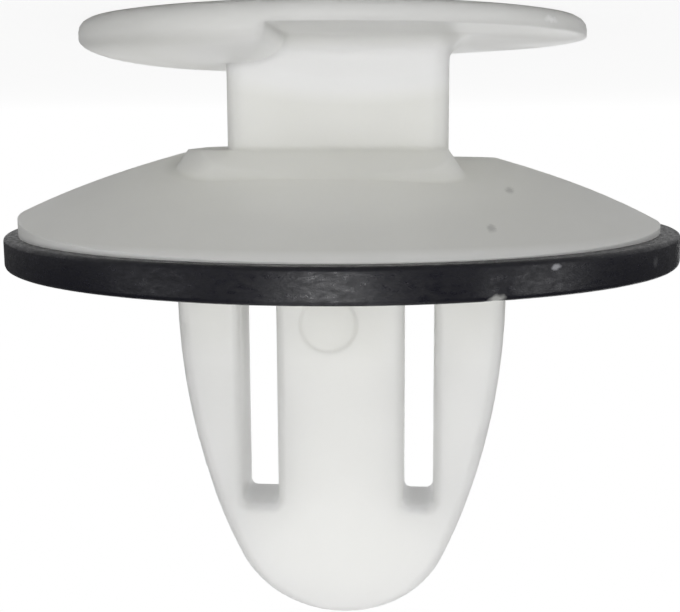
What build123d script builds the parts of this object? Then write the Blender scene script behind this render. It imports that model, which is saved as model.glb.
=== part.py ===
from build123d import *
from math import atan2, cos, degrees, radians, sin
import os

# Push-in trim clip of a car door: a nylon moulding and a soft sealing ring.
# The clip stands on its head. Z runs from the head's flat outer face to the
# prong's tip, X runs across the flat prong, towards the thick half of the
# head, and Y = 0 is the mould's parting plane. All sizes are in millimetres.

# Head
head_diameter = 14.87
head_thickness = 0.55
head_edge_width = 0.43  # of the rounding of its outer edge
head_edge_height = 0.36
head_offset = 0.24  # the head sits off the prong's axis, towards its thick half
pad_depth = 0.73  # how much deeper the thick half is beside the neck
pad_crown_radius = 3.9  # the thick half is level inside this radius
pad_end = 1.07  # from the head's centre to the end of the thick half
pad_end_length = 1.27  # the rounded end runs out over this length

# Neck
neck_width = 6.28
neck_depth = 5.5
neck_corner_radius = 0.5
neck_offset = -0.05
neck_head_radius = 0.7

# Groove for the trim's bracket, between the head and the skirt
groove_width = 3.46  # on the thin side of the head

# Foot of the neck, which leans out at its front and back
foot_height = 0.32
foot_thick_side = 4.4  # how far it reaches under the thick half
foot_thin_side = 3.18
foot_middle_depth = 6.6
foot_end_depth = 6.15
foot_tip_depth = 5.1
foot_thick_corner_radius = 1.8
foot_thin_corner_radius = 0.5
foot_draft = 35.0
foot_spread = 1.93  # the front and back slope outwards by this much
foot_drop = 1.3

# Skirt, a dome that is longer along X at its top and nearly round at its rim
skirt_rise = 2.1  # from the groove's floor on the thin side to the seal land
dome_top_length = 7.8
dome_top_depth = 2.4
dome_middle_length = 15.1
dome_middle_depth = 10.2
dome_middle_drop = 1.12  # from its top
dome_base_length = 20.6
dome_base_depth = 19.4
dome_offset = 0.42  # the dome is off centre, towards the thick half
rim_diameter = 19.0
rim_offset = 0.08
recess_diameter = 12.4
recess_depth = 0.5

# Sealing ring
seal_outer_diameter = 20.0
seal_inner_diameter = 13.0
seal_thickness = 0.82
seal_edge_chamfer = 0.12

# Prong
prong_width = 9.95
prong_thickness = 2.34
prong_edge_radius = 0.35
widest_above_seal = 1.02  # from the seal's face to the widest line
nose_length = 10.45  # from the widest line to the tip
nose_radius = 3.45
shoulder_run = 1.1  # the retaining slope behind the widest line
shoulder_drop = 0.6
shoulder_radius = 0.5
leg_tail = 0.7  # the legs end free, this far behind the slope
web_width = 3.88
web_root_radius = 0.3
slot_width = 0.92
wide_slot_extra = 0.2  # the slot under the thick half is this much wider
slot_length = 6.7  # from the widest line towards the tip
slot_end_radius = 0.22
slot_edge_radius = 0.25
nose_thinning = 4.2  # the prong thins over this length behind the tip
nose_end_thickness = 1.2

# Witness mark of the ejector pin, on the front of the web
mark_diameter = 1.7
mark_depth = 0.05
mark_offset = 0.34
mark_above_widest = 1.0

# Heights worked out from the sizes above
pad_bottom = head_thickness + pad_depth
groove_floor = head_thickness + groove_width
foot_top = groove_floor - foot_height
land_height = groove_floor + skirt_rise
recess_floor = land_height - recess_depth
seal_face = land_height + seal_thickness
widest_height = seal_face + widest_above_seal
tip_height = widest_height + nose_length
shoulder_height = widest_height - shoulder_run
leg_end = shoulder_height - leg_tail
slot_end = widest_height + slot_length

# Long arc of the prong's flank: upright at the widest line, and tangent to the nose
nose_centre = tip_height - nose_radius
nose_rise = nose_centre - widest_height
flank_radius = (prong_width**2 / 4 + nose_rise**2 - nose_radius**2) / (prong_width - 2 * nose_radius)
flank_angle = degrees(atan2(nose_rise, flank_radius - prong_width / 2))

# Half sizes used by several features
head_radius = head_diameter / 2
half_width = prong_width / 2
web_edge = web_width / 2
slot_outer_edge = web_edge + slot_width + wide_slot_extra
head_axis = Axis((head_offset, 0, 0), (0, 0, 1))
head_section = Plane(origin=(head_offset, 0, 0), x_dir=(1, 0, 0), z_dir=(0, -1, 0))
mark_plane = Plane(
    origin=(mark_offset, -prong_thickness / 2, widest_height + mark_above_widest),
    x_dir=(1, 0, 0),
    z_dir=(0, -1, 0),
)

# The head's rounded outer edge, in four narrow cones
edge_points = [
    (
        head_radius - head_edge_width * (1 - sin(radians(angle))),
        head_edge_height * (1 - cos(radians(angle))),
    )
    for angle in (0, 22.5, 45, 67.5, 90)
]

# Lens of the thick half, as a full turn
with BuildPart() as lens:
    with BuildSketch(head_section):
        with BuildLine():
            crown = Line((0, pad_bottom), (pad_crown_radius, pad_bottom))
            flank = EllipticalCenterArc(
                (pad_crown_radius, head_thickness),
                head_radius - pad_crown_radius,
                pad_depth,
                start_angle=0,
                arc_size=90,
            )
            Polyline(
                flank @ 0, (head_radius, head_edge_height), (0, head_edge_height), crown @ 0
            )
        make_face()
    revolve(axis=head_axis)

# Thick half of the head, the lens cut off by a rounded end
with BuildPart() as pad:
    with BuildSketch(head_section):
        with BuildLine():
            ramp = EllipticalCenterArc(
                (pad_end + pad_end_length, head_thickness),
                pad_end_length,
                pad_depth,
                start_angle=90,
                arc_size=90,
            )
            Polyline(
                ramp @ 1,
                (pad_end, 0),
                (head_diameter, 0),
                (head_diameter, pad_bottom),
                ramp @ 0,
            )
        make_face()
    extrude(amount=head_diameter, both=True)
    add(lens.part, mode=Mode.INTERSECT)

# Skirt, lofted from its narrow top to the flat land for the seal
with BuildPart() as skirt:
    with BuildSketch(Plane(origin=(dome_offset, 0, foot_top))):
        Ellipse(dome_top_length / 2, dome_top_depth / 2)
    with BuildSketch(Plane(origin=(dome_offset, 0, foot_top + dome_middle_drop))):
        Ellipse(dome_middle_length / 2, dome_middle_depth / 2)
    with BuildSketch(Plane(origin=(dome_offset, 0, land_height))):
        Ellipse(dome_base_length / 2, dome_base_depth / 2)
    loft()
    with BuildSketch(Plane(origin=(rim_offset, 0, foot_top))):
        Circle(rim_diameter / 2)
    extrude(amount=land_height - foot_top, mode=Mode.INTERSECT)
    with BuildSketch(Plane.XY.offset(foot_top)):
        with Locations((-neck_width / 2, 0)):
            Rectangle(rim_diameter, rim_diameter, align=(Align.MAX, Align.CENTER))
    extrude(amount=foot_height, mode=Mode.SUBTRACT)
    with BuildSketch(Plane.XY.offset(land_height)):
        Circle(recess_diameter / 2)
    extrude(amount=-recess_depth, mode=Mode.SUBTRACT)

# Foot of the neck, which runs out further under the thick half
with BuildPart() as foot:
    with BuildSketch(Plane.XY.offset(foot_top)) as foot_plan:
        with BuildLine():
            front = ThreePointArc(
                (-foot_thin_side, -foot_end_depth / 2),
                (0, -foot_middle_depth / 2),
                (foot_thin_side, -foot_end_depth / 2),
            )
            front_end = Line(front @ 1, (foot_thick_side, -foot_tip_depth / 2))
            back_end = Line((foot_thick_side, foot_tip_depth / 2), (foot_thin_side, foot_end_depth / 2))
            back = ThreePointArc(
                back_end @ 1, (0, foot_middle_depth / 2), (-foot_thin_side, foot_end_depth / 2)
            )
            Line(front_end @ 1, back_end @ 0)
            Line(back @ 1, front @ 0)
        make_face()
        fillet(foot_plan.vertices().sort_by(Axis.X)[-2:], radius=foot_thick_corner_radius)
        fillet(foot_plan.vertices().sort_by(Axis.X)[:2], radius=foot_thin_corner_radius)
    extrude(amount=foot_drop, taper=-foot_draft)
    with BuildSketch(Plane.YZ):
        with BuildLine():
            Polyline(
                (neck_depth / 2, foot_top),
                (neck_depth / 2 + foot_spread, foot_top + foot_drop),
                (-neck_depth / 2 - foot_spread, foot_top + foot_drop),
                (-neck_depth / 2, foot_top),
                close=True,
            )
        make_face()
    extrude(amount=rim_diameter / 2, both=True, mode=Mode.INTERSECT)

# Slotted prong, a flat blade with rounded edges that thins towards its tip
with BuildPart() as prong:
    with BuildSketch(Plane.XZ) as prong_outline:
        with BuildLine():
            tail = Line(
                (half_width - shoulder_drop, leg_end),
                (half_width - shoulder_drop, shoulder_height),
            )
            Line(tail @ 1, (half_width, widest_height))
            CenterArc((half_width - flank_radius, widest_height), flank_radius, 0, flank_angle)
            CenterArc((0, nose_centre), nose_radius, flank_angle, 90 - flank_angle)
            Polyline((0, tip_height), (0, leg_end), tail @ 0)
        make_face()
        mirror(about=Plane.YZ)
        shoulder_corners = prong_outline.vertices().filter_by(
            lambda corner: leg_end + 0.01 < corner.Y < widest_height + 0.01
        )
        fillet(shoulder_corners, radius=shoulder_radius)
    extrude(amount=prong_thickness / 2, both=True)
    with BuildSketch(Plane.YZ):
        with BuildLine():
            side_line = Line(
                (prong_thickness / 2, leg_end), (prong_thickness / 2, tip_height - nose_thinning)
            )
            TangentArc(
                side_line @ 1, (nose_end_thickness / 2, tip_height), tangent=side_line % 1
            )
            Polyline(
                (nose_end_thickness / 2, tip_height), (0, tip_height), (0, leg_end), side_line @ 0
            )
        make_face()
        mirror(about=Plane.YZ)
    extrude(amount=half_width, both=True, mode=Mode.INTERSECT)
    outline_edges = prong.edges().filter_by(
        lambda edge: abs(edge.center().Y) > 0.1 and edge.center().Z > leg_end + 0.01
    )
    fillet(outline_edges, radius=prong_edge_radius)
    with BuildSketch(Plane.XZ) as slots:
        for side, width in ((1, slot_width + wide_slot_extra), (-1, slot_width)):
            with Locations((side * (web_edge + width / 2), slot_end)):
                Rectangle(width, slot_end, align=(Align.CENTER, Align.MAX))
        slot_corners = slots.vertices().filter_by(lambda corner: corner.Y > slot_end - 0.01)
        fillet(slot_corners, radius=slot_end_radius)
    extrude(amount=prong_thickness, both=True, mode=Mode.SUBTRACT)
    slot_edges = prong.edges().filter_by(
        lambda edge: abs(edge.center().Y) > prong_thickness / 3
        and web_edge - 0.01 < abs(edge.center().X) < slot_outer_edge + 0.01
        and leg_end + 0.01 < edge.center().Z < slot_end + 0.01
    )
    fillet(slot_edges, radius=slot_edge_radius)

# The whole moulding
with BuildPart() as clip_body:
    with BuildSketch(head_section):
        with BuildLine():
            Polyline(
                *edge_points,
                (head_radius, head_thickness),
                (0, head_thickness),
                (0, 0),
                close=True,
            )
        make_face()
    revolve(axis=head_axis)
    with BuildSketch(Plane(origin=(neck_offset, 0, head_thickness))):
        RectangleRounded(neck_width, neck_depth, neck_corner_radius)
    extrude(amount=groove_width + recess_depth)
    neck_edges = clip_body.edges().filter_by_position(
        Axis.Z, head_thickness - 0.01, head_thickness + 0.01
    ).filter_by(lambda edge: abs(edge.center().X) < neck_width / 2 + 0.1)
    neck_edges = neck_edges.filter_by(lambda edge: edge.length < neck_width)
    fillet(neck_edges, radius=neck_head_radius)
    add(pad.part)
    add(skirt.part)
    add(foot.part)
    add(prong.part)
    with BuildSketch(Plane.XY.offset(recess_floor)):
        Rectangle(web_width, prong_thickness)
    extrude(amount=leg_end - recess_floor)

    root_edges = clip_body.edges().filter_by(GeomType.LINE).filter_by_position(
        Axis.Z, recess_floor - 0.01, recess_floor + 0.01
    )
    fillet(root_edges, radius=web_root_radius)
    with BuildSketch(mark_plane):
        Circle(mark_diameter / 2)
    extrude(amount=-mark_depth, mode=Mode.SUBTRACT)
clip_body.part.label = "clip_body"

# Sealing ring
with BuildPart() as seal_ring:
    with BuildSketch(Plane.XY.offset(land_height)):
        Circle(seal_outer_diameter / 2)
        Circle(seal_inner_diameter / 2, mode=Mode.SUBTRACT)
    extrude(amount=seal_thickness)
    outer_edges = seal_ring.edges().filter_by(GeomType.CIRCLE).sort_by(SortBy.RADIUS)[-2:]
    chamfer(outer_edges, length=seal_edge_chamfer)
seal_ring.part.label = "seal_ring"

os.makedirs("parts", exist_ok=True)
export_step(clip_body.part, "parts/clip_body.step")
export_step(seal_ring.part, "parts/seal_ring.step")
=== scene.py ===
import bpy
import math
from mathutils import Matrix, Vector, noise as lattice


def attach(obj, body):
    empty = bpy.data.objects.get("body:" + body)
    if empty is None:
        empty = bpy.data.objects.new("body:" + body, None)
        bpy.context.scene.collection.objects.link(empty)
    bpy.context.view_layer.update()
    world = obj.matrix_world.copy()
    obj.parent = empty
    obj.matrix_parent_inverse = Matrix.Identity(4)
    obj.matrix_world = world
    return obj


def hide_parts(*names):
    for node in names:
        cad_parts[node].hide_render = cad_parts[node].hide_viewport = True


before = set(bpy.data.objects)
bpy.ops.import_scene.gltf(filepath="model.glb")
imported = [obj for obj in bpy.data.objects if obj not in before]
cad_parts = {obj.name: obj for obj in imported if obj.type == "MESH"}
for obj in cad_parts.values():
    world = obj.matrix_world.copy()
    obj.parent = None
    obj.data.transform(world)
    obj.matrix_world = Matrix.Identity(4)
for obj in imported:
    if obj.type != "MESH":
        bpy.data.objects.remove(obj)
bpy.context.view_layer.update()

MM = 0.001


def material(name):
    mat = bpy.data.materials.new(name)
    mat.use_nodes = True
    tree = mat.node_tree
    return mat, tree, tree.nodes["Principled BSDF"]


def new(tree, kind, **values):
    node = tree.nodes.new(kind)
    for key, value in values.items():
        if key in node.inputs:
            node.inputs[key].default_value = value
        else:
            setattr(node, key, value)
    return node


def ramp(tree, fac, stops):
    node = tree.nodes.new("ShaderNodeValToRGB")
    elements = node.color_ramp.elements
    while len(elements) < len(stops):
        elements.new(0.5)
    for element, (place, colour) in zip(elements, stops):
        element.position = place
        if not isinstance(colour, tuple):
            colour = (colour, colour, colour)
        element.color = (*colour, 1.0)
    tree.links.new(fac, node.inputs["Fac"])
    return node


def noise(tree, coords, scale, detail=3.0, rough=0.5):
    node = new(tree, "ShaderNodeTexNoise", Scale=scale, Detail=detail, Roughness=rough)
    tree.links.new(coords, node.inputs["Vector"])
    return node


def stretched(tree, coords, scale):
    node = tree.nodes.new("ShaderNodeMapping")
    node.inputs["Scale"].default_value = scale
    tree.links.new(coords, node.inputs["Vector"])
    return node.outputs["Vector"]


def spot(tree, coords, place, radius, soft, stretch=(1, 1, 1)):
    """1 within radius (mm) of a place on the model (mm), fading to 0 over soft (mm)"""
    shifted = new(tree, "ShaderNodeVectorMath", operation="SUBTRACT")
    tree.links.new(coords, shifted.inputs[0])
    shifted.inputs[1].default_value = [value * MM for value in place]
    shaped = new(tree, "ShaderNodeVectorMath", operation="MULTIPLY")
    tree.links.new(shifted.outputs[0], shaped.inputs[0])
    shaped.inputs[1].default_value = stretch
    length = new(tree, "ShaderNodeVectorMath", operation="LENGTH")
    tree.links.new(shaped.outputs[0], length.inputs[0])
    fade = tree.nodes.new("ShaderNodeMapRange")
    fade.inputs["From Min"].default_value = (radius + soft) * MM
    fade.inputs["From Max"].default_value = radius * MM
    tree.links.new(length.outputs["Value"], fade.inputs["Value"])
    return fade.outputs["Result"]


def ranged(tree, value, source, target):
    """the value mapped from one range to another, and held at its ends"""
    node = tree.nodes.new("ShaderNodeMapRange")
    node.inputs["From Min"].default_value, node.inputs["From Max"].default_value = source
    node.inputs["To Min"].default_value, node.inputs["To Max"].default_value = target
    tree.links.new(value, node.inputs["Value"])
    return node.outputs["Result"]


def maths(tree, operation, first, second):
    """a maths node on two values, each an output of a node or a number"""
    node = new(tree, "ShaderNodeMath", operation=operation)
    for socket, value in zip(node.inputs, (first, second)):
        if isinstance(value, float):
            socket.default_value = value
        else:
            tree.links.new(value, socket)
    return node.outputs[0]


def uneven(tree, coords, scale, amount):
    """coordinates shifted by a noise, so that a spot's outline is ragged"""
    cloud = noise(tree, coords, scale, 2.0)
    centred = new(tree, "ShaderNodeVectorMath", operation="SUBTRACT")
    tree.links.new(cloud.outputs["Color"], centred.inputs[0])
    centred.inputs[1].default_value = (0.5, 0.5, 0.5)
    shift = new(tree, "ShaderNodeVectorMath", operation="SCALE", Scale=amount * MM)
    tree.links.new(centred.outputs[0], shift.inputs[0])
    moved = new(tree, "ShaderNodeVectorMath", operation="ADD")
    tree.links.new(coords, moved.inputs[0])
    tree.links.new(shift.outputs[0], moved.inputs[1])
    return moved.outputs[0]


def marked(tree, colour, mask, mark):
    """the colour with a mark of another colour where the mask is 1"""
    node = tree.nodes.new("ShaderNodeMix")
    node.data_type = "RGBA"
    tree.links.new(mask, node.inputs["Factor"])
    tree.links.new(colour, node.inputs["A"])
    node.inputs["B"].default_value = (*mark, 1.0)
    return node.outputs["Result"]


def wear(frame_node, mat):
    frame_node.data.materials.clear()
    frame_node.data.materials.append(mat)


# Natural nylon: milky, a little translucent, with soft moulded edges
nylon, tree, shader = material("natural_nylon")
coords = tree.nodes.new("ShaderNodeTexCoord").outputs["Object"]
cloud = noise(tree, coords, 160.0, 3.0)
tone = ramp(tree, cloud.outputs["Fac"], ((0.3, (0.84, 0.84, 0.81)), (0.7, (0.88, 0.88, 0.85))))
colour = tone.outputs["Color"]
level = tree.nodes.new("ShaderNodeSeparateXYZ")
tree.links.new(coords, level.inputs[0])
across_x = level.outputs["X"]
up_z = level.outputs["Z"]

# Tones by place: painted shade and painted light where the light alone doesn't give the photograph's
prong_start = 6.5 * MM  # between the skirt and what is seen of the prong
on_prong = maths(tree, "GREATER_THAN", up_z, prong_start)
# Painted shadow of the ring: the prong darker towards the black ring
root = ranged(tree, up_z, (10.0 * MM, 7.2 * MM), (0.0, 0.42))
ring_shadow = maths(tree, "MULTIPLY", root, on_prong)
colour = marked(tree, colour, ring_shadow, (0.52, 0.52, 0.505))
# Painted light: the skirt's lip next to the ring made lighter
lip = ranged(tree, up_z, (5.85 * MM, 5.98 * MM), (0.0, 1.0))
lip_light = maths(tree, "SUBTRACT", lip, on_prong)
colour = marked(tree, colour, lip_light, (1.0, 1.0, 0.985))
# Painted shade: the skirt darker towards its left and right sides
aside = new(tree, "ShaderNodeMath", operation="ABSOLUTE")
tree.links.new(across_x, aside.inputs[0])
flank = ranged(tree, aside.outputs[0], (3.5 * MM, 7.5 * MM), (0.0, 0.55))
dome = ranged(tree, up_z, (4.0 * MM, 4.5 * MM), (0.0, 1.0))
flank_dome = maths(tree, "MULTIPLY", flank, dome)
flank_shade = new(tree, "ShaderNodeMath", operation="SUBTRACT", use_clamp=True)
tree.links.new(flank_dome, flank_shade.inputs[0])
tree.links.new(on_prong, flank_shade.inputs[1])
colour = marked(tree, colour, flank_shade.outputs[0], (0.70, 0.70, 0.68))
# Painted shade in the crease at the foot of the neck
crease_shade = spot(tree, coords, (3.9, -1.7, 4.0), 0.3, 0.8, (0.8, 0.6, 1.5))
colour = marked(tree, colour, crease_shade, (0.66, 0.66, 0.64))
# Painted shade on the head's rim at one side
rim_left_shade = spot(tree, coords, (5.2, -5.6, 0.1), 1.4, 3.2, (0.7, 0.7, 4.0))
colour = marked(tree, colour, rim_left_shade, (0.66, 0.66, 0.645))
# Painted light at the ends of the two slots, which lie in shadow
slot_height = 14.65
for side_x in (2.35, -2.35):
    slot_end_light = spot(tree, coords, (side_x, 0.0, slot_height), 0.9, 0.25, (1.2, 0.8, 2.5))
    colour = marked(tree, colour, slot_end_light, (0.98, 0.98, 0.96))
# Painted light in the corner where the neck meets the head
corner_light = spot(tree, coords, (-0.6, -3.9, 0.6), 3.0, 1.6, (0.8, 0.9, 2.4))
colour = marked(tree, colour, corner_light, (0.99, 0.99, 0.98))
# Painted shade: the head's rim darker towards the floor it rests on
rim_shade = ranged(tree, up_z, (1.0 * MM, 0.6 * MM), (0.0, 0.75))
colour = marked(tree, colour, rim_shade, (0.72, 0.72, 0.70))

# Two dark specks on the skirt, two light marks at its rim and a painted highlight streak on the
# head's edge
ragged = uneven(tree, coords, 9000.0, 0.16)
for place, radius in (((-4.16, -6.62, 5.54), 0.05), ((-4.82, -3.53, 4.78), 0.05)):
    mask = spot(tree, ragged, place, radius, 0.10, (1, 0.35, 1))
    colour = marked(tree, colour, mask, (0.60, 0.60, 0.58))
for place, radius, stretch in (
    ((-3.82, -8.35, 5.97), 0.12, (1, 1, 1)),
    ((3.66, -8.64, 5.95), 0.07, (1, 1, 1)),
    # the last is a painted highlight, a streak of light on the head's edge
    ((-5.75, -4.39, 0.34), 0.05, (0.3, 0.5, 1.6)),
):
    mask = spot(tree, ragged, place, radius, 0.12, stretch)
    colour = marked(tree, colour, mask, (0.98, 0.98, 0.97))
tree.links.new(colour, shader.inputs["Base Color"])

smudge = noise(tree, coords, 420.0, 2.0)
gloss = ramp(tree, smudge.outputs["Fac"], ((0.3, 0.36), (0.7, 0.48)))
tree.links.new(gloss.outputs["Color"], shader.inputs["Roughness"])

# Light spreads in the neck and most of all in the prong, and hardly at the black ring
dome_milk = ranged(tree, up_z, (5.5 * MM, 5.85 * MM), (1.0, 0.0))
milk = maths(tree, "MAXIMUM", dome_milk, on_prong)
tree.links.new(milk, shader.inputs["Subsurface Weight"])
shader.inputs["Subsurface Radius"].default_value = (1.0, 1.0, 1.0)
skirt = ranged(tree, up_z, (4.4 * MM, 5.8 * MM), (1.3 * MM, 0.12 * MM))
blade = ranged(tree, up_z, (7.0 * MM, 11.0 * MM), (0.0, 3.4 * MM))
spread = maths(tree, "ADD", skirt, blade)
tree.links.new(spread, shader.inputs["Subsurface Scale"])

# Softer edges in the shading, by height: head, neck, skirt's lip and prong (mm)
ramp_reach = 10.0 * MM
tenths = ranged(tree, up_z, (0.0, ramp_reach), (0.0, 1.0))
radii = ramp(
    tree, tenths, ((0.09, 0.5), (0.15, 0.25), (0.44, 0.25), (0.54, 0.04), (0.66, 0.04), (0.72, 0.18))
)
rounding = maths(tree, "MULTIPLY", radii.outputs["Color"], MM)
edges = new(tree, "ShaderNodeBevel", samples=6)
tree.links.new(rounding, edges.inputs["Radius"])
skin = noise(tree, coords, 900.0, 3.0)
bump = new(tree, "ShaderNodeBump", Strength=0.08, Distance=0.02 * MM)
tree.links.new(skin.outputs["Fac"], bump.inputs["Height"])
tree.links.new(edges.outputs["Normal"], bump.inputs["Normal"])
tree.links.new(bump.outputs["Normal"], shader.inputs["Normal"])
wear(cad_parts["clip_body"], nylon)

# Black sealing ring: soft rubber with rounded edges, slightly uneven
outer = 10.0
inner = 6.5
low = 6.11  # the face that lies against the skirt
high = 6.93  # the free face
middle = (low + high) / 2
outer_round_high = 0.15
outer_round_low = 0.12
inner_round = 0.06
corner_points = 6
corner_turn = 90 / (corner_points - 1)
bulge_band = 0.4  # the outermost part, which bulges round the skirt's rim
bulge_high = 0.06
bulge_low = 0.025
profile = []
for centre_r, centre_z, radius, start in (
    (outer - outer_round_high, high - outer_round_high, outer_round_high, 0),
    (inner + inner_round, high - inner_round, inner_round, 90),
    (inner + inner_round, low + inner_round, inner_round, 180),
    (outer - outer_round_low, low + outer_round_low, outer_round_low, 270),
):
    for step in range(corner_points):
        turn = math.radians(start + corner_turn * step)
        point_r = centre_r + radius * math.cos(turn)
        point_z = centre_z + radius * math.sin(turn)
        if point_r > outer - bulge_band:
            point_z += bulge_high if point_z > middle else -bulge_low
        profile.append((point_r, point_z))
count = 288
across = len(profile)
nicks = (
    ((-5.62, -8.27, 6.27), 0.16, 0.05),
    ((-4.18, -8.96, 6.92), 0.2, 0.07),
    ((-8.42, -5.38, 6.51), 0.15, 0.03),
)
worn_band = 0.2  # only the outer wall is wavy and nicked
wave_depth = 0.018
grain_depth = 0.008
verts = []
for ring_step in range(count):
    angle = math.radians(90) + math.tau * ring_step / count
    for radius, height in profile:
        point = Vector((radius * math.cos(angle), radius * math.sin(angle), height))
        wave = 0.5 + 0.5 * lattice.noise(point * 1.4)
        grain = 0.5 + 0.5 * lattice.noise(Vector((angle * 22, height * 9, radius * 3)))
        inward = wave_depth * wave + grain_depth * grain
        for place, size, depth in nicks:
            gap = (point - Vector(place)).length
            inward += depth * math.exp(-((gap / size) ** 2))
        if radius > outer - worn_band:
            radius -= inward
        verts.append((radius * math.cos(angle) * MM, radius * math.sin(angle) * MM, height * MM))
faces = []
for ring_step in range(count):
    here = ring_step * across
    there = (ring_step + 1) % count * across
    for step in range(across):
        ahead = (step + 1) % across
        faces.append((here + step, there + step, there + ahead, here + ahead))
ring_mesh = bpy.data.meshes.new("seal_ring_soft")
ring_mesh.from_pydata(verts, [], faces)
lengths = [0.0]
for step in range(across):
    first = profile[step]
    second = profile[(step + 1) % across]
    lengths.append(lengths[-1] + math.dist(first, second))
sheet = ring_mesh.uv_layers.new(name="UVMap")
for face in ring_mesh.polygons:
    ring_step, step = divmod(face.index, across)
    for loop, (along, over) in zip(face.loop_indices, ((0, 0), (1, 0), (1, 1), (0, 1))):
        sheet.data[loop].uv = ((ring_step + along) / count * math.tau * outer, lengths[step + over])
ring_mesh.shade_smooth()
ring_mesh.update()
ring = bpy.data.objects.new("seal_ring_soft", ring_mesh)
bpy.context.scene.collection.objects.link(ring)

rubber, tree, shader = material("seal_rubber")
source = tree.nodes.new("ShaderNodeTexCoord")
coords = source.outputs["Object"]
strip = stretched(tree, source.outputs["UV"], (1.0, 2.2, 1.0))
cells = noise(tree, strip, 3.2, 4.0, 0.62)
tone = ramp(tree, cells.outputs["Fac"], ((0.35, (0.0, 0.0, 0.003)), (0.7, (0.006, 0.006, 0.011))))
colour = tone.outputs["Color"]
ragged = uneven(tree, coords, 5000.0, 0.14)
for place, radius, soft, stretch, mark in (
    ((-5.57, -8.26, 6.27), 0.07, 0.11, (1, 1, 2), (0.26, 0.26, 0.28)),
    ((-4.14, -8.96, 6.92), 0.10, 0.12, (0.8, 0.8, 1.8), (0.34, 0.34, 0.33)),
    ((-8.42, -5.36, 6.51), 0.03, 0.16, (1, 1, 1), (0.05, 0.05, 0.055)),
):
    colour = marked(tree, colour, spot(tree, ragged, place, radius, soft, stretch), mark)
tree.links.new(colour, shader.inputs["Base Color"])
gloss = ramp(tree, cells.outputs["Fac"], ((0.36, 0.46), (0.64, 0.26)))
tree.links.new(gloss.outputs["Color"], shader.inputs["Roughness"])
shader.inputs["Specular IOR Level"].default_value = 0.38
skin = noise(tree, strip, 6.0, 4.0, 0.65)
bump = new(tree, "ShaderNodeBump", Strength=0.5, Distance=0.02 * MM)
tree.links.new(skin.outputs["Fac"], bump.inputs["Height"])
tree.links.new(bump.outputs["Normal"], shader.inputs["Normal"])
ring.data.materials.append(rubber)
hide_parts("seal_ring")
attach(ring, "root")

# Floor, which fades into the white backdrop away from the clip
floor_mesh = bpy.data.meshes.new("floor")
side = 2.0
glow_reach = 0.22
floor_mesh.from_pydata(
    [(-side, -side, 0), (side, -side, 0), (side, side, 0), (-side, side, 0)], [], [(0, 1, 2, 3)]
)
floor = bpy.data.objects.new("floor", floor_mesh)
bpy.context.scene.collection.objects.link(floor)
floor_mat, tree, shader = material("floor")
shader.inputs["Base Color"].default_value = (0.80, 0.80, 0.80, 1)
shader.inputs["Roughness"].default_value = 0.9
coords = tree.nodes.new("ShaderNodeTexCoord").outputs["Object"]
reach = new(tree, "ShaderNodeVectorMath", operation="LENGTH")
tree.links.new(coords, reach.inputs[0])
fade = tree.nodes.new("ShaderNodeMapRange")
fade.interpolation_type = "SMOOTHSTEP"
fade.inputs["From Min"].default_value = 0.0
fade.inputs["From Max"].default_value = glow_reach
fade.inputs["To Min"].default_value = 0.9
fade.inputs["To Max"].default_value = 1.0
tree.links.new(reach.outputs["Value"], fade.inputs["Value"])
path = tree.nodes.new("ShaderNodeLightPath")
seen = new(tree, "ShaderNodeMath", operation="MULTIPLY")
tree.links.new(fade.outputs["Result"], seen.inputs[0])
tree.links.new(path.outputs["Is Camera Ray"], seen.inputs[1])
glow = tree.nodes.new("ShaderNodeEmission")
glow.inputs["Color"].default_value = (1, 1, 1, 1)
glow.inputs["Strength"].default_value = 1.0
blend = tree.nodes.new("ShaderNodeMixShader")
tree.links.new(seen.outputs[0], blend.inputs[0])
tree.links.new(shader.outputs[0], blend.inputs[1])
tree.links.new(glow.outputs[0], blend.inputs[2])
tree.links.new(blend.outputs[0], tree.nodes["Material Output"].inputs["Surface"])
floor.data.materials.append(floor_mat)

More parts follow.
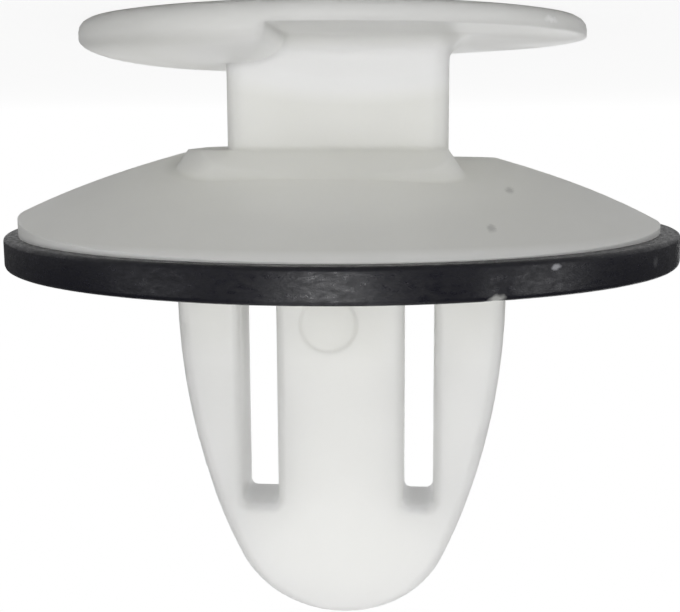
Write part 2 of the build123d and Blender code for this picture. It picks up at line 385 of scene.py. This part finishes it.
# Camera, upside down because the photograph shows the prong pointing down
picture_width = 680
sensor_width = 36.0
distance = 34.9317
yaw = math.radians(4.0966)
roll = math.radians(-0.2855)
pitch = math.radians(9.1312)
focal = 1139.17  # pixels
height = 2.9466
side_step = -0.0665
picture_right = Vector((-math.cos(yaw), math.sin(yaw), 0))
away = Vector((math.sin(yaw), math.cos(yaw), 0))
down = Vector((0, 0, 1))
eye = picture_right * side_step - away * distance + down * height
forward = away * math.cos(pitch) + down * math.sin(pitch)
down = down * math.cos(pitch) - away * math.sin(pitch)
x_axis = picture_right * math.cos(roll) - down * math.sin(roll)
y_axis = picture_right * math.sin(roll) + down * math.cos(roll)
camera_data = bpy.data.cameras.new("camera")
camera = bpy.data.objects.new("camera", camera_data)
bpy.context.scene.collection.objects.link(camera)
basis = Matrix((x_axis, -y_axis, -forward)).transposed()
camera.matrix_world = Matrix.Translation(eye * MM) @ basis.to_4x4()
camera_data.sensor_width = sensor_width
camera_data.lens = sensor_width * focal / picture_width
camera_data.clip_start = 0.001
bpy.context.scene.camera = camera


aim = Vector((0, 0, 9 * MM))


def area(name, place, size, power):
    """a soft square light that looks at the clip's middle height"""
    data = bpy.data.lights.new(name, "AREA")
    data.shape = "SQUARE"
    data.size = size
    data.energy = power
    lamp = bpy.data.objects.new(name, data)
    lamp.location = place
    lamp.rotation_mode = "QUATERNION"
    lamp.rotation_quaternion = (aim - Vector(place)).to_track_quat("-Z", "Y")
    lamp.visible_camera = False
    bpy.context.scene.collection.objects.link(lamp)


for name, place, size, power in (
    ("front", (0.0, -0.33, 0.11), 0.10, 0.18),
    ("front low", (0.0, -0.35, 0.035), 0.06, 0.21),
    ("front high", (0.0, -0.28, 0.22), 0.15, 0.26),
    ("top", (0.0, -0.05, 0.35), 0.20, 0.20),
    ("left", (0.30, -0.20, 0.08), 0.15, 0.10),
    ("right", (-0.33, -0.14, 0.08), 0.15, 0.20),
    ("back", (0.0, 0.30, 0.15), 0.30, 0.42),
):
    area(name, place, size, power)

# World: white to the camera, a faint white as light
world = bpy.data.worlds.new("world")
bpy.context.scene.world = world
world.use_nodes = True
tree = world.node_tree
output = tree.nodes["World Output"]
ambient = tree.nodes["Background"]
ambient.inputs["Color"].default_value = (1.0, 1.0, 1.0, 1)
ambient.inputs["Strength"].default_value = 0.1
backdrop = tree.nodes.new("ShaderNodeBackground")
backdrop.inputs["Color"].default_value = (1, 1, 1, 1)
backdrop.inputs["Strength"].default_value = 1.0
path = tree.nodes.new("ShaderNodeLightPath")
mix = tree.nodes.new("ShaderNodeMixShader")
tree.links.new(path.outputs["Is Camera Ray"], mix.inputs[0])
tree.links.new(ambient.outputs[0], mix.inputs[1])
tree.links.new(backdrop.outputs[0], mix.inputs[2])
tree.links.new(mix.outputs[0], output.inputs["Surface"])

bpy.context.scene.view_settings.view_transform = "Standard"
